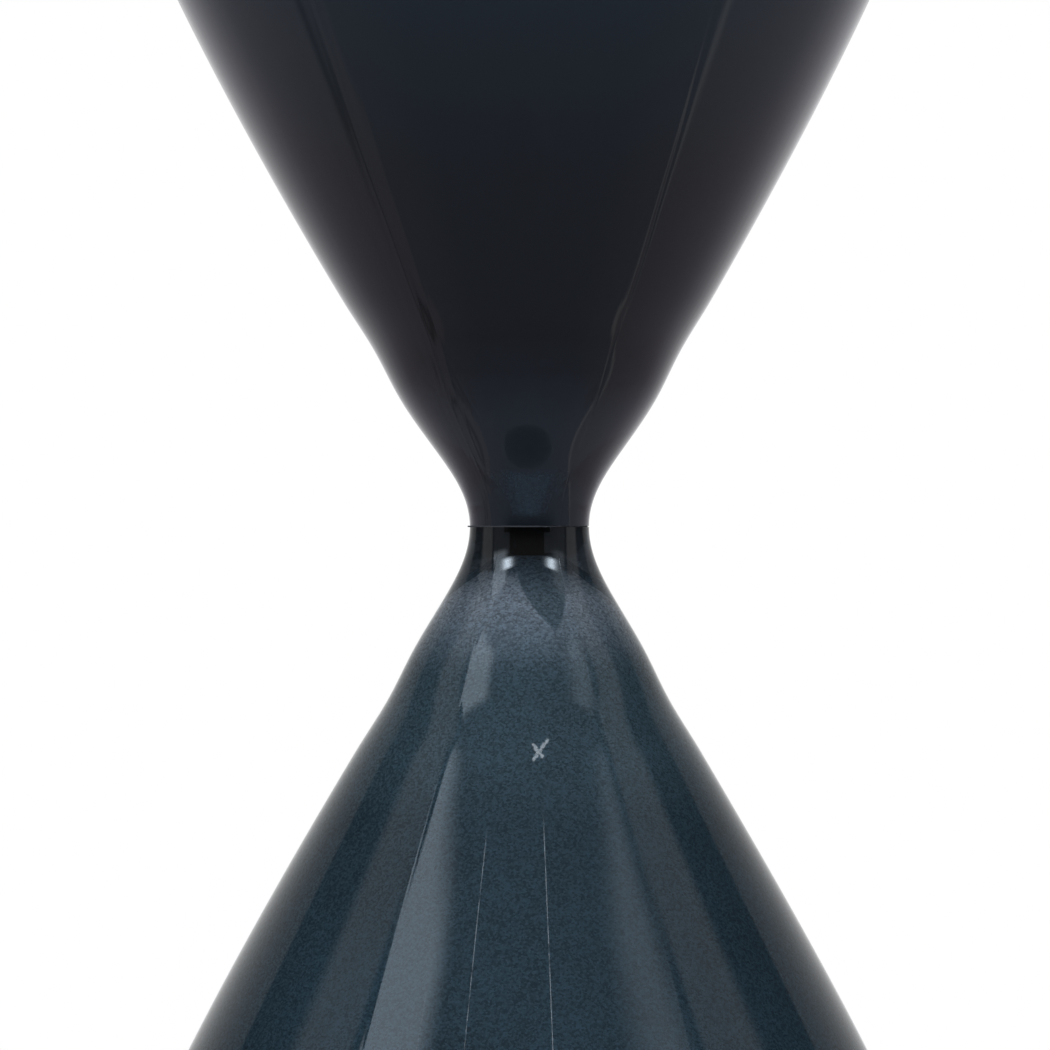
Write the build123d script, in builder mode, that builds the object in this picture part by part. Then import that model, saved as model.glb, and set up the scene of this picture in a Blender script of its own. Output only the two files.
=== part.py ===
import os
from build123d import *

# A frameless hourglass: two blown conical bulbs joined at a thick waist, able to stand on either end.
# Millimetres, Z up, origin in the middle of the foot that it stands on.
# Outlines are lists of (radius, distance from the waist), used upwards for one bulb and downwards
# for the other.

# Overall size
total_height = 250.0
waist_radius = 8.75
belly_radius = 62.0
belly_distance = 109.0
wall = 3.0

# Foot: a flat ring to stand on, around a shallow push-up with a flat middle
foot_outer_radius = 48.0
foot_inner_radius = 44.0
push_up_height = 4.0
push_up_flat_radius = 8.0
heel_depth = 9.5
heel_inset = 4.5

# Inside of the foot: a raised floor that follows the push-up, and a rounded corner
floor_thickness = 3.5
floor_edge_radius = 42.0
floor_edge_rise = 3.8
corner_radius = 51.0
corner_drop = 1.4
corner_start = 8.0

# Waist joint: two ground faces with a film of clear cement between them
cement_thickness = 0.2
cement_inner_radius = 2.6
cement_bead = 0.05

# Orifice insert: a flanged bush let into the lower neck, whose bore sets the running time
flange_radius = 2.25
flange_thickness = 1.0
stem_radius = 1.7
insert_length = 5.0
orifice_radius = 0.8
orifice_lead_in_radius = 1.4
insert_clearance = 0.05
stem_chamfer = 0.25

# Throat of the upper bulb, and the top of the lower bulb's cavity
throat_radius = 1.6
lower_cavity_distance = 2.4

# Sand: fills the lower cavity and stands just off its wall
sand_gap = 0.1

# Fill hole in the upper end, its stopper, and the bead of sealant around the stopper's head
fill_hole_radius = 4.0
stopper_clearance = 0.05
stopper_head_radius = 5.6
stopper_head_thickness = 1.4
stopper_head_rounding = 1.6
stopper_stem_length = 5.0
stopper_tip_taper = 0.4
seal_width = 1.0
seal_height = 0.7

# Each side is a neck curve through a few points, then one long curve with two handles: the cone
# leaves the neck at a slope, and rounds into the belly. The bulbs are blown by hand, so the upper
# neck flares a little faster than the lower one, and both have a slight hollow above the flare.
cone_slope = 0.6
upper_neck_curve = [(10.0, 5.3), (13.65, 11.1), (18.7, 18.5), (22.5, 25.8), (27.0, 33.1)]
upper_cone_handle = (42.6, 59.5)
lower_neck_curve = [(9.7, 5.0), (12.7, 10.9), (17.0, 18.2), (20.7, 25.5), (25.2, 32.8)]
lower_cone_handle = (41.4, 60.0)
belly_handle_distance = 97.0

# The neck is solid glass around a narrow throat, which opens upwards as a slender cone and downwards
# as a wider funnel. The wall thins out on both sides, and sooner in the lower bulb.
upper_throat = [(1.8, 3.5), (2.5, 6.2), (3.9, 9.4), (5.6, 12.5)]
upper_throat_curve = upper_throat + [(7.8, 15.6), (12.2, 19.8), (17.8, 25.6), (23.6, 33.2)]
upper_inner_handle = (38.6, 60.0)
lower_funnel = [(3.0, 5.0), (4.3, 6.7), (6.6, 9.5), (9.6, 12.4), (12.6, 15.4)]
lower_funnel_curve = lower_funnel + [(15.4, 18.9), (18.9, 25.5), (22.8, 32.8)]
lower_inner_handle = (38.65, 60.0)

waist_height = total_height / 2
push_up_distance = waist_height - push_up_height
floor_distance = push_up_distance - floor_thickness
floor_edge_distance = floor_distance + floor_edge_rise
half_cement = cement_thickness / 2
up = 1
down = -1


def place(side, radius, distance):
    # A point of the half section, at a distance above (up) or below (down) the waist
    return (radius, waist_height + side * distance)


def draw_side(side, neck, curve, handle, belly, start_tangent=None):
    # Neck curve through its points, then the long curve of the cone up to the belly
    points = [neck] + [place(side, radius, distance) for radius, distance in curve]
    if start_tangent:
        Spline(points, tangents=[start_tangent, (cone_slope, side)])
    else:
        Spline(points)
    Bezier(points[-1], place(side, *handle), (belly[0], place(side, 0, belly_handle_distance)[1]), belly)


def outer_outline(side, curve, handle):
    # Ground face at the waist, side of the bulb, rounded heel, foot ring, push-up, back along the axis
    neck = place(side, waist_radius, half_cement)
    belly = place(side, belly_radius, belly_distance)
    heel_end = place(side, foot_outer_radius, waist_height)
    ring_end = place(side, foot_inner_radius, waist_height)
    flat_end = place(side, push_up_flat_radius, push_up_distance)
    flat_middle = place(side, 0, push_up_distance)
    neck_middle = place(side, 0, half_cement)
    draw_side(side, neck, curve, handle, belly, start_tangent=(0, side))
    Bezier(
        belly,
        place(side, belly_radius, belly_distance + heel_depth),
        place(side, belly_radius - heel_inset, waist_height),
        heel_end,
    )
    Line(heel_end, ring_end)
    TangentArc(flat_end, ring_end, tangent=(1, 0))
    Polyline(flat_end, flat_middle, neck_middle, neck)


def cavity_outline(side, curve, handle, start, gap=0.0):
    # Side of the cavity from its narrow start to the belly, rounded corner, and raised floor.
    # Returns the middle of the floor. A gap draws the same outline further in.
    belly = place(side, belly_radius - wall - gap, belly_distance)
    edge = place(side, floor_edge_radius, floor_edge_distance - gap)
    flat_end = place(side, push_up_flat_radius, floor_distance - gap)
    flat_middle = place(side, 0, floor_distance - gap)
    inner_curve = [(radius - gap, distance) for radius, distance in curve]
    draw_side(side, start, inner_curve, (handle[0] - gap, handle[1]), belly)
    Bezier(
        belly,
        place(side, belly_radius - wall - gap, belly_distance + corner_start),
        place(side, corner_radius, floor_edge_distance + corner_drop - gap),
        edge,
    )
    TangentArc(flat_end, edge, tangent=(1, 0))
    Line(flat_end, flat_middle)
    return flat_middle


os.makedirs("parts", exist_ok=True)


# Upper bulb: empty cavity above a narrow throat, with the fill hole in its end
with BuildPart() as upper_bulb:
    with BuildSketch(Plane.XZ):
        with BuildLine():
            outer_outline(up, upper_neck_curve, upper_cone_handle)
        make_face()
    revolve(axis=Axis.Z)
    with BuildSketch(Plane.XZ):
        with BuildLine():
            throat = place(up, throat_radius, half_cement)
            floor_middle = cavity_outline(up, upper_throat_curve, upper_inner_handle, throat)
            Polyline(floor_middle, place(up, 0, half_cement), throat)
        make_face()
    revolve(axis=Axis.Z, mode=Mode.SUBTRACT)
    with BuildSketch(Plane.XY.offset(waist_height + floor_distance)):
        Circle(fill_hole_radius)
    extrude(amount=floor_thickness, mode=Mode.SUBTRACT)
upper_bulb.part.label = "upper_bulb"
export_step(upper_bulb.part, "parts/upper_bulb.step")


# Lower bulb: cavity that starts close under the waist, with a seat for the orifice insert
with BuildPart() as lower_bulb:
    with BuildSketch(Plane.XZ):
        with BuildLine():
            outer_outline(down, lower_neck_curve, lower_cone_handle)
        make_face()
    revolve(axis=Axis.Z)
    with BuildSketch(Plane.XZ):
        with BuildLine():
            bore_end = place(down, stem_radius + insert_clearance, lower_cavity_distance)
            floor_middle = cavity_outline(down, lower_funnel_curve, lower_inner_handle, bore_end)
            Polyline(floor_middle, place(down, 0, lower_cavity_distance), bore_end)
        make_face()
    revolve(axis=Axis.Z, mode=Mode.SUBTRACT)
    with Locations((0, 0, waist_height - half_cement)):
        CounterBoreHole(
            radius=stem_radius + insert_clearance,
            counter_bore_radius=flange_radius + insert_clearance,
            counter_bore_depth=flange_thickness,
            depth=insert_length,
        )
lower_bulb.part.label = "lower_bulb"
export_step(lower_bulb.part, "parts/lower_bulb.step")


# Orifice insert: flange flush with the ground face, stem reaching down into the sand
with BuildPart() as orifice_insert:
    with BuildSketch(Plane.XY.offset(waist_height - half_cement - insert_length)):
        Circle(stem_radius)
    extrude(amount=insert_length)
    with BuildSketch(Plane.XY.offset(waist_height - half_cement - flange_thickness + insert_clearance)):
        Circle(flange_radius)
    extrude(amount=flange_thickness - insert_clearance)
    with Locations((0, 0, waist_height - half_cement)):
        CounterSinkHole(
            radius=orifice_radius,
            counter_sink_radius=orifice_lead_in_radius,
            depth=insert_length,
        )
    lowest_edge = orifice_insert.faces().sort_by(Axis.Z)[0].edges().sort_by(SortBy.RADIUS)[-1]
    chamfer(lowest_edge, length=stem_chamfer)
orifice_insert.part.label = "orifice_insert"
export_step(orifice_insert.part, "parts/orifice_insert.step")


# Cement film between the two ground faces, clear of the throat and slightly proud at the rim
with BuildPart() as waist_cement:
    with BuildSketch(Plane.XY.offset(waist_height - half_cement)):
        Circle(waist_radius + cement_bead)
        Circle(cement_inner_radius, mode=Mode.SUBTRACT)
    extrude(amount=cement_thickness)
waist_cement.part.label = "waist_cement"
export_step(waist_cement.part, "parts/waist_cement.step")


# Sand: it fills the lower cavity as far up as the lower end of the insert's stem
with BuildPart() as sand:
    with BuildSketch(Plane.XZ):
        with BuildLine():
            top_radius, top_distance = lower_funnel[0]
            top = place(down, top_radius - sand_gap, top_distance)
            floor_middle = cavity_outline(down, lower_funnel_curve[1:], lower_inner_handle, top, sand_gap)
            below_stem = insert_length + half_cement + sand_gap
            Polyline(
                floor_middle,
                place(down, 0, below_stem),
                place(down, stem_radius + sand_gap, below_stem),
                place(down, stem_radius + sand_gap, top_distance),
                top,
            )
        make_face()
    revolve(axis=Axis.Z)
sand.part.label = "sand"
export_step(sand.part, "parts/sand.step")


# Stopper of the fill hole: tapered stem through the floor, domed head inside the push-up
with BuildPart() as fill_stopper:
    stem_top = waist_height + push_up_distance
    with BuildSketch(Plane.XZ):
        with BuildLine():
            stem = fill_hole_radius - stopper_clearance
            stem_low = stem_top - stopper_stem_length
            head_low = stem_top + stopper_clearance
            head_high = head_low + stopper_head_thickness
            head_round = stopper_head_radius - stopper_head_rounding
            Polyline(
                (0, head_high),
                (0, stem_low),
                (stem - stopper_tip_taper, stem_low),
                (stem, stem_top - floor_thickness),
                (stem, head_low),
                (stopper_head_radius, head_low),
            )
            Bezier(
                (stopper_head_radius, head_low),
                (stopper_head_radius, head_high),
                (head_round, head_high),
                (0, head_high),
            )
        make_face()
    revolve(axis=Axis.Z)
fill_stopper.part.label = "fill_stopper"
export_step(fill_stopper.part, "parts/fill_stopper.step")


# Bead of clear sealant around the stopper's head, hollow-faced like a wiped fillet
with BuildPart() as stopper_seal:
    with BuildSketch(Plane.XZ):
        with BuildLine():
            seal_inner = stopper_head_radius + stopper_clearance
            seal_foot = (seal_inner + seal_width, head_low)
            seal_corner = (seal_inner, head_low)
            seal_top = (seal_inner, head_low + seal_height)
            Polyline(seal_foot, seal_corner, seal_top)
            Bezier(seal_top, (seal_inner + seal_width / 4, head_low + seal_height / 4), seal_foot)
        make_face()
    revolve(axis=Axis.Z)
stopper_seal.part.label = "stopper_seal"
export_step(stopper_seal.part, "parts/stopper_seal.step")
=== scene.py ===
import bpy
import math
import numpy as np
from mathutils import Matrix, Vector


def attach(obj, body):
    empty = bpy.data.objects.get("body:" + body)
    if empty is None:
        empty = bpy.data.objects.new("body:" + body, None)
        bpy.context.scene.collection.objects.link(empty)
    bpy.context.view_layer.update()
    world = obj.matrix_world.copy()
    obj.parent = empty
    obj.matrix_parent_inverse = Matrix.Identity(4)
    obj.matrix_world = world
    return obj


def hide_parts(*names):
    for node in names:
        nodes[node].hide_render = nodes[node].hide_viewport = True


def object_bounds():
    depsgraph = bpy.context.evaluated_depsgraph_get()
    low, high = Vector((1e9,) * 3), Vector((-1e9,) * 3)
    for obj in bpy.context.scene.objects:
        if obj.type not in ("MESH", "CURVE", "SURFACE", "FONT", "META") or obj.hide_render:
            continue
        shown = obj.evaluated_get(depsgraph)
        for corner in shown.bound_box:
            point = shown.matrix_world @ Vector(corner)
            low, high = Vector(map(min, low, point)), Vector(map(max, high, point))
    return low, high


# A frameless blown hourglass. Two smoked blue bulbs joined at a thick waist, the lower one full of sand.
# Profiles are in millimetres as (distance from the waist, radius), the same way up and down.

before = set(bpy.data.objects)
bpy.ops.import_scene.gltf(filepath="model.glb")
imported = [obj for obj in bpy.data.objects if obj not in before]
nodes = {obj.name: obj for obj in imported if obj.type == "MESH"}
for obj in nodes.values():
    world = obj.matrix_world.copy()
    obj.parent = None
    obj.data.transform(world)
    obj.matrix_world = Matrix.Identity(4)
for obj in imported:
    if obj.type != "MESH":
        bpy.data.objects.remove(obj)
cadLow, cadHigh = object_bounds()
millimetre = 0.001
waistHeight = (cadHigh[2] - cadLow[2]) / 2
endDistance = waistHeight / millimetre
up, down = 1, -1
print("frame loaded")


cameraSettings = dict(
    distance=1.25,
    sensor=36.0,
    spanAcross=0.1539,     # width of the view at the object
    aside=-0.0004,
    lift=0.0002,
)


def makeCamera(s):
    # Level with the waist, long lens, so that the span across the waist fills the frame
    data = bpy.data.cameras.new("studioCamera")
    data.sensor_width = s["sensor"]
    data.lens = s["sensor"] * s["distance"] / s["spanAcross"]
    data.clip_end = 20.0
    camera = bpy.data.objects.new("studioCamera", data)
    camera.location = (s["aside"], -s["distance"], waistHeight + s["lift"])
    camera.rotation_euler = (math.pi / 2, 0, 0)
    bpy.context.scene.collection.objects.link(camera)
    bpy.context.scene.camera = camera


makeCamera(cameraSettings)


class Value:
    # A socket that takes part in Python arithmetic; each operator adds one Math node
    def __init__(self, sheet, socket):
        self.sheet = sheet
        self.socket = socket

    def maths(self, operation, *operands):
        return self.sheet.maths(operation, *operands)

    def __add__(self, other):
        return self.maths("ADD", self, other)

    def __radd__(self, other):
        return self.maths("ADD", other, self)

    def __sub__(self, other):
        return self.maths("SUBTRACT", self, other)

    def __rsub__(self, other):
        return self.maths("SUBTRACT", other, self)

    def __mul__(self, other):
        return self.maths("MULTIPLY", self, other)

    def __rmul__(self, other):
        return self.maths("MULTIPLY", other, self)

    def __pow__(self, other):
        return self.maths("POWER", self, other)

    def __neg__(self):
        return self.maths("MULTIPLY", self, -1.0)


class Sheet:
    # The node tree of a material or world, with one method that makes any node
    def __init__(self, tree):
        self.tree = tree
        tree.nodes.clear()

    def node(self, kind, settings=None, inputs=None, output=0):
        made = self.tree.nodes.new(kind)
        for name, value in (settings or {}).items():
            if name == "stops":
                ramp = made.color_ramp
                for _ in value[2:]:
                    ramp.elements.new(1.0)
                for element, (position, color) in zip(ramp.elements, value):
                    element.position = position
                    element.color = color
            else:
                setattr(made, name, value)
        for name, value in (inputs or {}).items():
            if isinstance(value, Value):
                self.tree.links.new(value.socket, made.inputs[name])
            elif value is not None:
                made.inputs[name].default_value = value
        return Value(self, made.outputs[output])

    def between(self, value, low, high):
        # 0 below low, 1 above high, smooth between
        return self.node(
            "ShaderNodeMapRange",
            {"interpolation_type": "SMOOTHSTEP"},
            {"Value": value, "From Min": low, "From Max": high},
        )

    def blend(self, factor, first, second):
        # Colour from first to second
        return self.node(
            "ShaderNodeMix", {"data_type": "RGBA"}, {0: factor, 6: first, 7: second}, output=2
        )

    def noise(self, vector, scale, detail=2.0, roughness=0.5):
        return self.node(
            "ShaderNodeTexNoise",
            {},
            {"Vector": vector, "Scale": scale, "Detail": detail, "Roughness": roughness},
        )

    def bump(self, height, strength, distance, normal=None):
        return self.node(
            "ShaderNodeBump",
            {},
            {"Height": height, "Strength": strength, "Distance": distance, "Normal": normal},
        )

    def vector(self, x, y, z):
        return self.node("ShaderNodeCombineXYZ", {}, {0: x, 1: y, 2: z})

    def scaled(self, color, factor):
        return self.node("ShaderNodeVectorMath", {"operation": "SCALE"}, {0: color, "Scale": factor})

    def maths(self, operation, *operands):
        return self.node("ShaderNodeMath", {"operation": operation}, dict(enumerate(operands)))

    def hump(self, off):
        # 1 where off is 0, falling away on both sides as the bell curve exp(-off squared)
        return self.maths("EXPONENT", -(off * off))

    def ramp(self, along, stops):
        # Colour along a ramp of (position, colour) stops
        return self.node("ShaderNodeValToRGB", {"stops": stops}, {0: along})

    def mix(self, factor, first, second):
        # Shader from first to second
        return self.node("ShaderNodeMixShader", {}, {0: factor, 1: first, 2: second})

    def place(self, coordinate="Object"):
        # The coordinate, and its three parts
        whole = self.node("ShaderNodeTexCoord", {}, {}, output=coordinate)
        parts = [self.node("ShaderNodeSeparateXYZ", {}, {0: whole}, output=axis) for axis in range(3)]
        return whole, parts

    def finish(self, shader, kind="ShaderNodeOutputMaterial"):
        end = self.tree.nodes.new(kind)
        self.tree.links.new(shader.socket, end.inputs["Surface"])


def newMaterial(name):
    material = bpy.data.materials.new(name)
    material.use_nodes = True
    return material, Sheet(material.node_tree)


def cubicThrough(points, startSlope, endSlope):
    # r(d): cubic pieces through the points with matching slopes and curvatures, given end slopes.
    # The slopes m solve the usual three-term equations; each piece is then the Hermite cubic.
    d, r = np.array(points, float).T
    step = np.diff(d)
    chord = np.diff(r) / step
    count = len(d)
    system = np.eye(count)
    right = np.zeros(count)
    right[0], right[-1] = startSlope, endSlope
    inner = np.arange(1, count - 1)
    system[inner, inner - 1] = step[1:]
    system[inner, inner] = 2 * (step[:-1] + step[1:])
    system[inner, inner + 1] = step[:-1]
    right[inner] = 3 * (chord[:-1] * step[1:] + chord[1:] * step[:-1])
    slope = np.linalg.solve(system, right)

    def radiusAt(at):
        k = np.clip(np.searchsorted(d, at) - 1, 0, count - 2)
        h = step[k]
        t = (at - d[k]) / h
        return (
            (1 + 2 * t) * (1 - t) ** 2 * r[k]
            + t * (1 - t) ** 2 * h * slope[k]
            + t * t * (3 - 2 * t) * r[k + 1]
            + t * t * (t - 1) * h * slope[k + 1]
        )

    return radiusAt


def spaced(start, end, pitchStart, pitchEnd):
    # Stations from start to end whose spacing grows evenly from pitchStart to pitchEnd
    count = max(2, int(round(2 * abs(end - start) / (pitchStart + pitchEnd))) + 1)
    t = np.linspace(0, 1, count)
    grow = (pitchEnd - pitchStart) / (pitchStart + pitchEnd)
    return start + (end - start) * ((1 - grow) * t + grow * t * t)


def quarterTurn(fromPoint, toPoint, count):
    # Quarter ellipse from a point on the belly, tangent along the axis, to one on the end, tangent across
    turn = np.linspace(0, math.pi / 2, count)[1:]
    (d0, r0), (d1, r1) = fromPoint, toPoint
    return np.column_stack([d0 + (d1 - d0) * np.sin(turn), r1 + (r0 - r1) * np.cos(turn)])


def revolve(name, profile, columns, side, shape, closed, skinRows=None):
    # Point(row, column) = (r cos a, r sin a, waist + side d) from the profile (d, r), then bent by shape.
    # A closed profile is a ring of rows; an open one starts and ends on the axis and gets a pole there.
    # skinRows says for each row whether it lies on the coloured outside.
    angles = np.linspace(0, 2 * math.pi, columns, endpoint=False)
    rows = profile if closed else profile[1:-1]
    d, r = rows[:, :1], rows[:, 1:]
    points = shape(r, d, angles[None, :], side).reshape(-1, 3)
    rowCount = len(rows)
    i = np.arange(rowCount if closed else rowCount - 1)
    j = np.arange(columns)
    a, b = np.meshgrid(i, j, indexing="ij")
    aNext, bNext = (a + 1) % rowCount, (b + 1) % columns
    here, there = a * columns, aNext * columns
    quads = np.stack([here + b, here + bNext, there + bNext, there + b], -1)
    faces = quads.reshape(-1, 4).tolist()
    if not closed:
        poles = shape(np.zeros((2, 1)), profile[[0, -1], :1], angles[None, :1], side).reshape(-1, 3)
        first, last = len(points), len(points) + 1
        points = np.vstack([points, poles])
        lastRow = (rowCount - 1) * columns
        jNext = (j + 1) % columns
        faces += np.column_stack([np.full(columns, first), jNext, j]).tolist()
        faces += np.column_stack([np.full(columns, last), lastRow + j, lastRow + jNext]).tolist()
    piece = meshPiece(name, points, faces)
    if skinRows is not None:
        inner = skinRows if closed else skinRows[1:-1]
        perPoint = np.repeat(inner, columns)
        if not closed:
            perPoint = np.append(perPoint, skinRows[[0, -1]])
        skin = piece.data.attributes.new("skin", "FLOAT", "POINT")
        skin.data.foreach_set("value", perPoint.astype(np.float32))
    return piece


def meshPiece(name, points, faces):
    # A smooth-shaded piece at the origin, turned right side out by the sign of its volume
    mesh = bpy.data.meshes.new(name)
    mesh.from_pydata((points * millimetre).tolist(), [], faces)
    mesh.update()
    mesh.calc_loop_triangles()
    corners = np.empty(len(mesh.loop_triangles) * 3, dtype=np.int32)
    mesh.loop_triangles.foreach_get("vertices", corners)
    a, b, c = points[corners.reshape(-1, 3)].transpose(1, 0, 2)
    if np.sum(a * np.cross(b, c)) < 0:
        mesh.flip_normals()
    mesh.shade_smooth()
    piece = bpy.data.objects.new(name, mesh)
    bpy.context.scene.collection.objects.link(piece)
    return piece


# Hand-blown irregularity shared by glass and sand, so that the sand stays inside
blown = dict(
    neckAside=0.25,        # how far the waist stands to the right of the axis
    neckReach=30,          # how far from the waist that fades
    leanTop=-1.15,         # drift of the upper end
    leanPower=1.2,
    oval=0.12,             # oval out-of-round at the belly
    lobe=0.05,             # three-lobed waviness
    radius=62.0,           # radius that the last two are measured on
)


def blownShape(r, d, angle, side):
    # x = w cos a + aside, y = w sin a, z = waist + side d. w is r with a slight oval that grows with the
    # distance and three low lobes, and aside is a bell curve at the waist plus a slow lean of the upper end
    far = np.clip(d / endDistance, 0, 1)
    still = 1 - far ** 8
    oval = blown["oval"] * far * np.cos(2 * angle + 0.7 * side)
    lobe = blown["lobe"] * np.sin(3 * angle + 2.5 * far + side) * np.sin(math.pi * far)
    wide = r * (1 + still * (oval + lobe) / blown["radius"])
    lean = blown["leanTop"] * far ** blown["leanPower"] if side == up else 0.0 * far
    aside = blown["neckAside"] * np.exp(-((d / blown["neckReach"]) ** 2)) + lean
    x = wide * np.cos(angle) + aside
    y = wide * np.sin(angle)
    z = np.broadcast_to(endDistance + side * d, x.shape)
    return np.stack([x, y, z], -1)


glassSettings = dict(
    columns=256,
    waist=(0.06, 8.75),
    belly=(109.0, 62.0),
    bellyHandle=97.0,
    heel=(125.0, 48.0),
    ringInner=44.0,
    flat=8.0,
    pushUp=4.0,
    floorThickness=3.5,
    innerBelly=(109.0, 59.0),
    corner=(121.4, 42.0),
    holeRadius=4.0,
    throat=1.6,
    seat=[(2.4, 1.75), (1.1, 1.75), (1.1, 2.3), (0.06, 2.3)],     # for the insert, from its foot up
    seatSlope=0.35,
    neckPitch=(0.03, 0.9),     # close at the waist, so that the ground edge stays crisp
    conePitch=1.4,
    heelRows=22,
    pushUpRows=14,
    cornerRows=18,
    innerRows=12,
)
# Each side is a neck through a few points, then a cone with one handle
upperSide = dict(
    neck=[(5.3, 10.0), (11.1, 13.65), (18.5, 18.7), (25.8, 22.5), (33.1, 27.0)],
    handle=(59.5, 42.6),
)
lowerSide = dict(
    neck=[(5.0, 9.7), (10.9, 12.7), (18.2, 17.0), (25.5, 20.7), (32.8, 25.2)],
    handle=(60.0, 41.4),
)
upperThroat = [(3.5, 1.8), (6.2, 2.5), (9.4, 3.9), (12.5, 5.6)]
upperInside = dict(
    neck=upperThroat + [(15.6, 7.8), (19.8, 12.2), (25.6, 17.8), (33.2, 23.6)],
    handle=(60.0, 38.6),
)
lowerFunnel = [(5.0, 3.0), (6.7, 4.3), (9.5, 6.6), (12.4, 9.6), (15.4, 12.6)]
lowerInside = dict(
    neck=lowerFunnel + [(18.9, 15.4), (25.5, 18.9), (32.8, 22.8)],
    handle=(60.0, 38.65),
)


def sideRows(side, start, startSlope, belly, gap=0.0):
    # Rows (d, r) of the neck, close together, then of the cone: the cubic Bezier curve
    # (1-t)^3 A + 3(1-t)^2 t B + 3(1-t) t^2 C + t^3 D from the neck's end to the belly
    neck = np.array([start] + side["neck"], float) - (0.0, gap)
    first = neck[-1]
    handle = np.array(side["handle"], float) - (0.0, gap)
    last = np.array(belly, float) - (0.0, gap)
    endSlope = (handle[1] - first[1]) / (handle[0] - first[0])
    radiusAt = cubicThrough(neck, startSlope, endSlope)
    d = spaced(neck[0, 0], first[0], *glassSettings["neckPitch"])
    count = int((last[0] - first[0]) / glassSettings["conePitch"])
    t = np.linspace(0, 1, count)[1:, None]
    bellyHandle = np.array((glassSettings["bellyHandle"], last[1]))
    cone = (1 - t) ** 3 * first + 3 * (1 - t) ** 2 * t * handle
    cone = cone + 3 * (1 - t) * t ** 2 * bellyHandle + t ** 3 * last
    return np.vstack([np.column_stack([d, radiusAt(d)]), cone])


def pushUpRows(middle, edge, count):
    # Shallow dome of the end: parabola from the edge radius in to a flat middle
    flat = glassSettings["flat"]
    r = np.linspace(edge[1], flat, count)[1:]
    dome = middle + (edge[0] - middle) * ((r - flat) / (edge[1] - flat)) ** 2
    return np.column_stack([dome, r])


def bulbProfile(side):
    # The upper bulb is a ring of rows through the fill hole: out along the outside, back along the inside.
    # The lower one starts and ends on the axis. The first stretches carry the coloured skin.
    s = glassSettings
    outer = sideRows(upperSide if side == up else lowerSide, s["waist"], 0.0, s["belly"])
    heel = quarterTurn(s["belly"], s["heel"], s["heelRows"])
    end = s["heel"][0] - s["pushUp"]
    push = pushUpRows(end, (s["heel"][0], s["ringInner"]), s["pushUpRows"])
    floor = end - s["floorThickness"]
    corner = quarterTurn(s["innerBelly"], s["corner"], s["cornerRows"])[::-1]
    innerPush = pushUpRows(floor, s["corner"], s["innerRows"])[::-1]
    if side == up:
        cavity = sideRows(upperInside, (s["waist"][0], s["throat"]), 0.0, s["innerBelly"])[::-1]
        hole = np.array([(end, s["holeRadius"]), (floor, s["holeRadius"])])
        return joined([outer, heel, push, hole, innerPush, corner, cavity], outside=3)
    cavity = sideRows(lowerInside, s["seat"][0], s["seatSlope"], s["innerBelly"])
    seat = np.array(s["seat"][1:])[::-1]
    middle = [np.array([(end, 0.0)]), np.array([(floor, 0.0)])]
    outside = [middle[0], push[::-1], heel[::-1], outer[::-1]]
    return joined(outside + [seat, cavity, corner[::-1], innerPush[::-1], middle[1]], outside=4)


def joined(stretches, outside):
    # One profile from its stretches; the first ones, as many as outside says, carry the coloured skin
    skin = np.concatenate([np.full(len(rows), float(k < outside)) for k, rows in enumerate(stretches)])
    return np.vstack(stretches), skin


def makeBulb(name, side, node):
    profile, skin = bulbProfile(side)
    piece = revolve(name, profile, glassSettings["columns"], side, blownShape, side == up, skin)
    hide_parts(node)
    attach(piece, "root")
    return piece


upperBulb = makeBulb("upperBulb", up, "upper_bulb")
lowerBulb = makeBulb("lowerBulb", down, "lower_bulb")
print("glass made")


sandSettings = dict(
    columns=256,
    gap=0.1,               # off the wall
    top=5.0,
    topRadius=3.0,
    topSlope=0.68,
    stemGap=1.8,           # radius of the socket for the insert's stem
    belowStem=5.2,
)


def makeSand(s):
    # The lower cavity again, a little smaller, with a socket for the insert's stem in its top
    g = glassSettings
    under = dict(lowerInside, neck=lowerInside["neck"][1:])
    side = sideRows(under, (s["top"], s["topRadius"]), s["topSlope"], g["innerBelly"], s["gap"])
    belly = (g["innerBelly"][0], g["innerBelly"][1] - s["gap"])
    edge = (g["corner"][0] - s["gap"], g["corner"][1])
    floor = g["heel"][0] - g["pushUp"] - g["floorThickness"] - s["gap"]
    corner = quarterTurn(belly, edge, g["cornerRows"])
    dome = pushUpRows(floor, edge, g["innerRows"])
    stem = [(s["belowStem"], 0.0), (s["belowStem"], s["stemGap"]), (s["top"], s["stemGap"])]
    profile = np.vstack([stem, side, corner, dome, [(floor, 0.0)]])
    piece = revolve("sandFill", profile, s["columns"], down, blownShape, closed=False)
    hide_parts("sand")
    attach(piece, "root")
    return piece


sandFill = makeSand(sandSettings)
print("sand made")


def clear(color):
    # The colour with full alpha
    return color + (1.0,)


def aroundAndAway(sheet, x, y, z):
    # Angle around the axis from the front, distance from the axis, and distance from the waist
    angle = sheet.maths("ARCTAN2", x, -y)
    radius = sheet.maths("SQRT", x * x + y * y)
    away = sheet.maths("ABSOLUTE", z - waistHeight)
    return angle, radius, away


def window(sheet, value, edges):
    # 1 between the two middle edges, 0 outside the outer two
    low, lowFull, highFull, high = edges
    return sheet.between(value, low, lowFull) * (1.0 - sheet.between(value, highFull, high))


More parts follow.
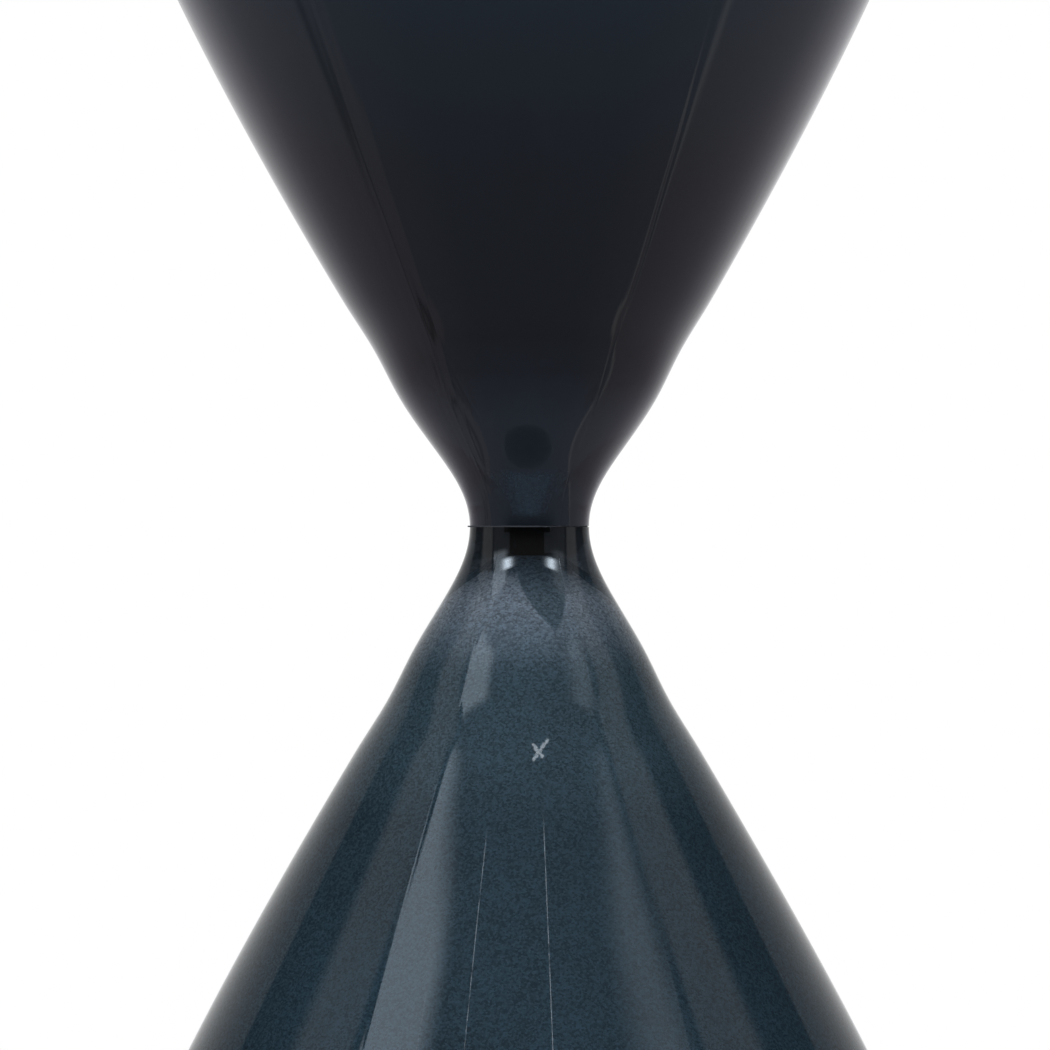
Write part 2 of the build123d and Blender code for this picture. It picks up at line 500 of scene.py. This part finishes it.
def glassRelief(sheet, place, angle, z, s):
    # Height in millimetres: noise stretched along z for the draw lines that run from neck to belly, plus
    # slow noise for the ripple, plus a bell curve across each crease
    wander = (sheet.noise(place, s["wanderScale"], 1.0) - 0.5) * s["wander"]
    around = sheet.vector(angle * s["drawAround"], z * s["drawAlong"], 0.0)
    height = sheet.noise(around, 1.0, 3.0, 0.55) * s["drawHeight"]
    height = height + sheet.noise(place, s["rippleScale"], 1.0) * s["rippleHeight"]
    for degrees, width, depth in s["creases"]:
        off = (angle + wander - math.radians(degrees)) * (1 / math.radians(width))
        height = height + sheet.hump(off) * depth
    return sheet.bump(height, 1.0, millimetre)


def scratches(sheet, place, angle, radius, away, s):
    # Hair lines along the cone: a bell curve across, faded at the start, broken up by noise
    broken = sheet.between(sheet.noise(place, s["breakScale"], 2.0), *s["breakRange"])
    mask = 0.0
    for degrees, width, start, strength in s["lines"]:
        off = (angle - math.radians(degrees)) * radius * (1 / (width * millimetre))
        begun = sheet.between(away, start * millimetre, (start + s["fadeIn"]) * millimetre)
        mask = mask + sheet.hump(off) * begun * broken * strength
    return mask


def chip(sheet, place, x, y, z, s):
    # Star-shaped chip in the front: distance to the nearest of a few strokes, roughened by noise
    across = x * (1 / millimetre) - s["chipAt"][0]
    above = (z - waistHeight) * (1 / millimetre) - s["chipAt"][1]
    nearest = 9.0          # further than any stroke reaches
    for (x0, z0), (x1, z1) in s["chipStrokes"]:
        run, rise = x1 - x0, z1 - z0
        along = ((across - x0) * run + (above - z0) * rise) * (1 / (run * run + rise * rise))
        along = sheet.maths("MINIMUM", sheet.maths("MAXIMUM", along, 0.0), 1.0)
        dx = across - x0 - along * run
        dz = above - z0 - along * rise
        nearest = sheet.maths("MINIMUM", sheet.maths("SQRT", dx * dx + dz * dz), nearest)
    rough = (sheet.noise(place, s["chipNoise"], 2.0) - 0.5) * s["chipRoughness"]
    inFront = sheet.maths("LESS_THAN", y, 0.0)
    return (1.0 - sheet.between(nearest + rough, *s["chipEdge"])) * inFront * s["chipStrength"]


jointReach = 0.065     # just past the ground faces
white = (1.0, 1.0, 1.0, 1.0)
black = (0.0, 0.0, 0.0, 1.0)


def glassFinish(name, s):
    # Clear glass with its colour in the outer skin, which varies with the distance from the waist.
    # The cemented faces of the joint let light straight through, and so does an inside that is packed
    # with sand, because the grains lie against it. Shadows only take a tint at the skin.
    material, sheet = newMaterial(name)
    place, (x, y, z) = sheet.place()
    angle, radius, away = aroundAndAway(sheet, x, y, z)
    skin = sheet.node("ShaderNodeAttribute", {"attribute_name": "skin"}, {}, output="Fac")
    # The ramp is the glass colour; in the lower bulb it also holds painted shade by the waist and painted
    # light on the sand below the neck
    tint = sheet.ramp(away * (1 / waistHeight), [(at, clear(color)) for at, color in s["tints"]])
    glass = sheet.node(
        "ShaderNodeBsdfPrincipled",
        {},
        {
            "Base Color": sheet.blend(skin, white, tint),
            "Roughness": 0.0,
            "IOR": 1.5,
            "Transmission Weight": 1.0,
            "Normal": glassRelief(sheet, place, angle, z, s),
        },
    )
    if "lines" in s:
        frosted = sheet.node("ShaderNodeBsdfDiffuse", {}, {"Color": clear(s["frosted"])})
        marks = scratches(sheet, place, angle, radius, away, s) + chip(sheet, place, x, y, z, s)
        glass = sheet.mix(sheet.maths("MINIMUM", marks * skin, s["marksLimit"]), glass, frosted)
    if "paintedSandImage" in s:
        # Painted image of the lit sand, which the neck shows by refraction: a pale speckled sheet on the
        # inside of the funnel
        grains = sheet.between(sheet.noise(place, s["paintedSandImageScale"], 1.0), *s["paintedSandImageRange"])
        paintedSandImageMask = window(sheet, away * (1 / millimetre), s["paintedSandImage"]) * (1.0 - skin)
        paintedSandImageBsdf = sheet.node("ShaderNodeBsdfDiffuse", {}, {"Color": clear(s["paintedSandImageColor"])})
        glass = sheet.mix(paintedSandImageMask * (grains * 0.5 + 0.5) * s["paintedSandImageAmount"], glass, paintedSandImageBsdf)
    matched = sheet.node("ShaderNodeBsdfTransparent", {}, {"Color": white})
    shaded = sheet.node("ShaderNodeBsdfTransparent", {}, {"Color": clear(s["shadow"])})
    isJoint = sheet.maths("LESS_THAN", away, jointReach * millimetre)
    if s["packed"]:
        isJoint = sheet.maths("MAXIMUM", isJoint, 1.0 - skin)
    isShadow = sheet.node("ShaderNodeLightPath", {}, {}, output="Is Shadow Ray")
    shadowSkin = sheet.mix(skin, matched, shaded)
    sheet.finish(sheet.mix(isShadow, sheet.mix(isJoint, glass, matched), shadowSkin))
    return material


upperGlass = dict(
    drawAround=14.0,
    drawAlong=9.0,
    drawHeight=0.012,
    rippleScale=45.0,
    rippleHeight=0.012,
    wanderScale=25.0,
    wander=0.08,
    creases=[          # degrees from the front, width in degrees, height
        (-37.5, 0.9, 0.02),
        (-33.0, 0.7, 0.008),
        (-43.0, 1.5, -0.01),
        (33.0, 0.6, -0.015),
        (2.0, 0.5, 0.006),
    ],
    tints=[            # from the waist, 0, to the end, 1
        (0.0, (0.036, 0.053, 0.075)),
        (0.12, (0.036, 0.053, 0.075)),
        (0.18, (0.003, 0.006, 0.008)),
        (0.42, (0.012, 0.020, 0.026)),
        (0.62, (0.032, 0.062, 0.090)),
        (1.0, (0.050, 0.090, 0.130)),
    ],
    shadow=(0.12, 0.16, 0.19),
    packed=False,
    # Painted image of the lit sand seen through the neck, as a pale band inside the upper funnel
    paintedSandImage=(1.6, 2.6, 8.5, 10.5),     # fades in and out at these distances from the waist
    paintedSandImageScale=1900.0,
    paintedSandImageRange=(0.35, 0.65),
    paintedSandImageColor=(0.70, 0.85, 0.85),
    paintedSandImageAmount=0.5,
)
lowerGlass = dict(
    drawAround=14.0,
    drawAlong=9.0,
    drawHeight=0.004,
    rippleScale=45.0,
    rippleHeight=0.006,
    wanderScale=25.0,
    wander=0.03,
    creases=[(-28.5, 0.4, 0.006), (28.5, 0.4, 0.006)],
    # Smoked blue of the glass with painted shade and painted light in it: near-black up to about 0.05 is
    # painted shade by the waist, the palest stretch from 0.085 to 0.27 is painted light on the sand below
    # the neck, then darker, and lighter again towards the end
    tints=[
        (0.0, (0.030, 0.038, 0.05)),
        (0.045, (0.050, 0.062, 0.078)),
        (0.062, (0.16, 0.19, 0.22)),
        (0.085, (0.55, 0.59, 0.63)),
        (0.12, (0.43, 0.48, 0.52)),
        (0.27, (0.40, 0.46, 0.51)),
        (0.34, (0.21, 0.265, 0.31)),
        (0.62, (0.20, 0.27, 0.33)),
        (1.0, (0.26, 0.34, 0.40)),
    ],
    shadow=(0.45, 0.50, 0.55),
    breakScale=420.0,
    breakRange=(0.25, 0.5),
    fadeIn=6,
    lines=[            # degrees from the front, width, distance where it starts, strength
        (4.2, 0.055, 40.0, 0.16),
        (-10.7, 0.055, 42.0, 0.14),
        (-19.0, 0.05, 62.0, 0.06),
    ],
    chipAt=(1.5, -32.2),
    chipStrokes=[((1.3, 1.5), (0.4, 0.2)), ((0.4, 0.2), (-0.65, -1.3)), ((-0.65, 0.75), (0.55, -0.8))],
    chipNoise=2200.0,
    chipRoughness=0.9,
    chipEdge=(0.05, 0.38),
    chipStrength=0.22,
    marksLimit=0.8,
    frosted=(0.62, 0.68, 0.74),
    packed=True,
)
upperBulb.data.materials.append(glassFinish("upperGlass", upperGlass))
lowerBulb.data.materials.append(glassFinish("lowerGlass", lowerGlass))


def sandFinish(s):
    # Grain by grain shade from cells and slow drift. Painted light below the waist: a pale patch stands in
    # for the light that the neck focuses on the sand. It starts along an arched edge with a few notches,
    # and thins out downwards.
    material, sheet = newMaterial("dyedSandAndPaintedLight")
    place, (x, y, z) = sheet.place()
    angle, radius, away = aroundAndAway(sheet, x, y, z)
    cellInputs = {"Vector": place, "Scale": s["grains"]}
    cellColor = sheet.node("ShaderNodeTexVoronoi", {}, cellInputs, output="Color")
    cellHeight = sheet.node("ShaderNodeTexVoronoi", {}, cellInputs, output="Distance")
    shade = sheet.node("ShaderNodeSeparateColor", {}, {0: cellColor})
    drift = sheet.noise(place, s["driftScale"], 3.0)
    edge = s["paintedLightStart"]
    for degrees, width, depth in s["notches"]:
        off = sheet.maths("ABSOLUTE", angle - math.radians(degrees)) * (1 / math.radians(width))
        edge = edge + sheet.maths("MAXIMUM", 1.0 - off, 0.0) * depth
    # Painted light: the pale patch that stands in for the light the neck focuses on the sand
    below = away * (1 / millimetre)
    paintedLightMask = sheet.between(below - edge, *s["paintedLightEdge"]) * (1.0 - s["paintedLightBase"]) + s["paintedLightBase"]
    paintedLightMask = paintedLightMask * (1.0 - sheet.between(below, *s["paintedLightFade"]))
    base = sheet.blend(paintedLightMask, s["plain"], s["paintedLight"])
    evenTone = 1.0 - 0.5 * (s["contrast"] + s["driftAmount"])
    tone = shade * s["contrast"] + drift * s["driftAmount"] + evenTone
    color = sheet.scaled(base, tone)
    body = sheet.node(
        "ShaderNodeBsdfPrincipled",
        {},
        {
            "Base Color": color,
            "Roughness": s["roughness"],
            "Metallic": s["sheen"],
            "Normal": sheet.bump(cellHeight, s["relief"], s["reliefDepth"]),
        },
    )
    sheet.finish(body)
    return material


sandColors = dict(
    grains=3700.0,
    driftScale=60.0,
    driftAmount=0.5,
    contrast=0.85,
    plain=(0.205, 0.300, 0.340, 1.0),
    # Pale colour of the painted light on the sand below the waist
    paintedLight=(0.78, 0.82, 0.88, 1.0),
    paintedLightBase=0.2,          # painted light above the edge
    paintedLightStart=7.6,         # distance of the edge from the waist
    paintedLightEdge=(-0.3, 0.5),
    paintedLightFade=(10.0, 23.0),
    notches=[              # degrees from the front, width in degrees, depth
        (17.6, 32.0, 8.0),
        (-28.0, 4.0, 1.2),
        (100.0, 26.0, 7.0),
        (168.0, 20.0, 5.0),
        (-110.0, 30.0, 7.5),
    ],
    roughness=0.5,
    sheen=0.5,
    relief=0.4,
    reliefDepth=0.0003,
)
sandFill.data.materials.append(sandFinish(sandColors))


def plainFinish(name, color, roughness, grainScale, grainDepth):
    # Moulded or cured surface: faint mottling of the colour and a fine grain
    material, sheet = newMaterial(name)
    place, _ = sheet.place()
    mottle = sheet.noise(place, grainScale, 4.0)
    lighter = tuple(min(1.0, channel * 1.5) for channel in color)
    body = sheet.node(
        "ShaderNodeBsdfPrincipled",
        {},
        {
            "Base Color": sheet.blend(mottle, clear(color), clear(lighter)),
            "Roughness": mottle * 0.2 + roughness,
            "Normal": sheet.bump(mottle, 0.3, grainDepth),
        },
    )
    return material, sheet, body


def wear(node, material):
    mesh = nodes[node].data
    mesh.materials.clear()
    mesh.materials.append(material)


def dress(node, finish, *settings):
    # Settings: colour, roughness, scale of the mottling, depth of the grain
    material, sheet, body = plainFinish(finish, *settings)
    sheet.finish(body)
    wear(node, material)


def dressCement(s):
    # Clear film that disappears between the two glass faces and shows as a dark line at its rim
    material, sheet, body = plainFinish("curedCement", *s["plain"])
    _, (x, y, z) = sheet.place()
    _, radius, _ = aroundAndAway(sheet, x, y, z)
    matched = sheet.node("ShaderNodeBsdfTransparent", {}, {"Color": white})
    sheet.finish(sheet.mix(sheet.between(radius, *s["rim"]), matched, body))
    wear("waist_cement", material)


dress("orifice_insert", "blackRubber", (0.004, 0.005, 0.007), 0.6, 900.0, 0.00005)
dress("fill_stopper", "mouldedSilicone", (0.03, 0.033, 0.036), 0.45, 700.0, 0.00005)
dress("stopper_seal", "clearSealant", (0.5, 0.52, 0.54), 0.25, 500.0, 0.00005)
dressCement(dict(plain=((0.012, 0.014, 0.018), 0.8, 500.0, 0.00002), rim=(0.0085, 0.0086)))
print("finishes made")


# A turn is in degrees round from the front, on either side; a height is the z of the direction
studio = dict(
    floorReach=0.6,
    floorColor=(0.9, 0.9, 0.9, 1.0),
    tableFront=(0.235, 0.25, 0.335, 1.0),
    tableMiddle=(0.27, 0.275, 0.35, 1.0),
    tableSide=(0.36, 0.34, 0.40, 1.0),
    tableBack=(0.95, 0.95, 0.97, 1.0),
    middleTurn=(45, 78),
    besideTurn=(81, 85),
    behindTurn=(120, 185),
    gap=(93, 0.5, 0.45),       # dark line in the table on the left: turn, sharpness, strength
    edge=(84, 0.7, 0.4),       # pale line on the right
    horizon=0.01,
    front=0.14,
    frontTurn=(69, 75),
    side=0.42,
    sideTurn=(74, 78, 96, 104),
    dark=0.03,
    backNear=0.2,
    backFar=0.95,
    backTurn=(125.5, 180),
    backEdge=1,
    backPower=1.5,
    backHeight=(0.46, 0.58),
    slotHeight=0.3,            # dark slot level with the object
    slotTurn=(30, 60),
    slotDepth=0.85,
    seenThrough=0.15,
    fill=1.3,
)
softboxes = dict(
    color=(0.86, 1.0, 1.14),
    height=(0.40, 0.52, 0.762, 0.814),
    left=(2.0, (39, 52, 71.5, 73)),        # strength and turn
    right=(0.75, (39, 58, 62, 76)),
    coreTurn=44,
    coreWidth=9,
    coreHeight=(0.55, 0.61, 0.67, 0.71),
    core=14.0,
)


def makeFloor(s):
    # Round white disc under the foot, which reflections don't see
    mesh = bpy.data.meshes.new("studioFloor")
    turn = np.linspace(0, 2 * math.pi, 96, endpoint=False)
    points = np.column_stack([np.cos(turn), np.sin(turn), 0 * turn]) * s["floorReach"]
    mesh.from_pydata(points.tolist(), [], [list(range(len(turn)))])
    floor = bpy.data.objects.new("studioFloor", mesh)
    bpy.context.scene.collection.objects.link(floor)
    material, sheet = newMaterial("paleFloor")
    sheet.finish(sheet.node("ShaderNodeBsdfDiffuse", {}, {"Color": s["floorColor"]}))
    mesh.materials.append(material)
    floor.visible_glossy = False
    floor.visible_transmission = False


def softboxLight(sheet, turn, x, z, s):
    # Two tall soft boxes, left stronger than right, each with a small bright core
    tall = window(sheet, z, s["height"])
    isLeft = sheet.maths("LESS_THAN", x, 0.0)
    left = window(sheet, turn, s["left"][1]) * s["left"][0]
    right = window(sheet, turn, s["right"][1]) * s["right"][0]
    sheets = (left * isLeft + right * (1.0 - isLeft)) * tall
    core = sheet.hump((turn - s["coreTurn"]) * (1 / s["coreWidth"]))
    return sheets + core * window(sheet, z, s["coreHeight"]) * s["core"]


def makeWorld(s):
    # White to the camera. For reflections: below the horizon a table that turns from blue-grey to white,
    # above it a dim front, a grey side, a dark gap, a bright sweep, and the soft boxes.
    world = bpy.data.worlds.new("studioWorld")
    bpy.context.scene.world = world
    world.use_nodes = True
    sheet = Sheet(world.node_tree)
    _, (x, y, z) = sheet.place("Generated")
    turn = sheet.maths("ARCTAN2", sheet.maths("ABSOLUTE", x), -y) * (180 / math.pi)
    isFront = 1.0 - sheet.between(turn, *s["frontTurn"])
    isSide = window(sheet, turn, s["sideTurn"])
    backStart, backEnd = s["backTurn"]
    intoBack = sheet.maths("MAXIMUM", (turn - backStart) * (1 / (backEnd - backStart)), 0.0)
    intoBack = intoBack ** s["backPower"]
    isBack = sheet.between(turn, backStart - s["backEdge"], backStart + s["backEdge"])
    isBack = isBack * (1.0 - sheet.between(z, *s["backHeight"]))
    back = intoBack * (s["backFar"] - s["backNear"]) + s["backNear"]
    above = isFront * (s["front"] - s["dark"]) + isSide * (s["side"] - s["dark"]) + s["dark"]
    above = above + isBack * (back - s["dark"])
    boxes = softboxLight(sheet, turn, x, z, softboxes)
    tinted = sheet.scaled(softboxes["color"], boxes)
    grey = sheet.vector(above, above, above)
    upper = sheet.node("ShaderNodeVectorMath", {"operation": "ADD"}, {0: tinted, 1: grey})
    onLeft = sheet.maths("LESS_THAN", x, 0.0)
    table = sheet.blend(sheet.between(turn, *s["middleTurn"]), s["tableFront"], s["tableMiddle"])
    table = sheet.blend(sheet.between(turn, *s["besideTurn"]), table, s["tableSide"])
    table = sheet.blend(sheet.between(turn, *s["behindTurn"]), table, s["tableBack"])
    gapTurn, gapSharpness, gapStrength = s["gap"]
    gap = sheet.hump((turn - gapTurn) * gapSharpness) * onLeft * gapStrength
    table = sheet.blend(gap, table, black)
    edgeTurn, edgeSharpness, edgeStrength = s["edge"]
    edge = sheet.hump((turn - edgeTurn) * edgeSharpness) * (1.0 - onLeft) * edgeStrength
    table = sheet.blend(edge, table, s["tableBack"])
    mirrored = sheet.blend(sheet.between(z, -s["horizon"], s["horizon"]), table, upper)
    slot = sheet.hump(z * (1 / s["slotHeight"])) * (1.0 - sheet.between(turn, *s["slotTurn"]))
    mirrored = sheet.blend(slot * s["slotDepth"], mirrored, black)
    camera, glass, diffuse = [
        sheet.node("ShaderNodeLightPath", {}, {}, output=output)
        for output in ("Is Camera Ray", "Is Transmission Ray", "Is Diffuse Ray")
    ]
    seen = sheet.blend(glass, mirrored, (s["seenThrough"],) * 3 + (1.0,))
    seen = sheet.blend(diffuse, seen, (s["fill"],) * 3 + (1.0,))
    seen = sheet.blend(camera, seen, white)
    background = sheet.node("ShaderNodeBackground", {}, {"Color": seen, "Strength": 1.0})
    sheet.finish(background, "ShaderNodeOutputWorld")


lampSettings = dict(
    azimuth=-20,           # degrees from the front towards +X
    elevation=50,
    distance=1.6,
    size=(1.2, 1.0),
    radiance=2.5,
)


def makeLamp(s):
    # A rectangular lamp, unseen in reflections, that looks at the waist
    a, e = math.radians(s["azimuth"]), math.radians(s["elevation"])
    direction = Vector((math.sin(a) * math.cos(e), -math.cos(a) * math.cos(e), math.sin(e)))
    data = bpy.data.lights.new("frontFill", "AREA")
    data.shape = "RECTANGLE"
    data.size, data.size_y = s["size"]
    data.energy = s["radiance"] * math.pi * s["size"][0] * s["size"][1]
    lamp = bpy.data.objects.new("frontFill", data)
    lamp.location = direction * s["distance"] + Vector((0, 0, waistHeight))
    lamp.rotation_euler = direction.to_track_quat("Z", "Y").to_euler()
    lamp.visible_camera = False
    lamp.visible_glossy = False
    lamp.visible_transmission = False
    bpy.context.scene.collection.objects.link(lamp)


makeFloor(studio)
makeWorld(studio)
makeLamp(lampSettings)
view = bpy.context.scene.view_settings
view.view_transform = "Standard"
print("studio made")
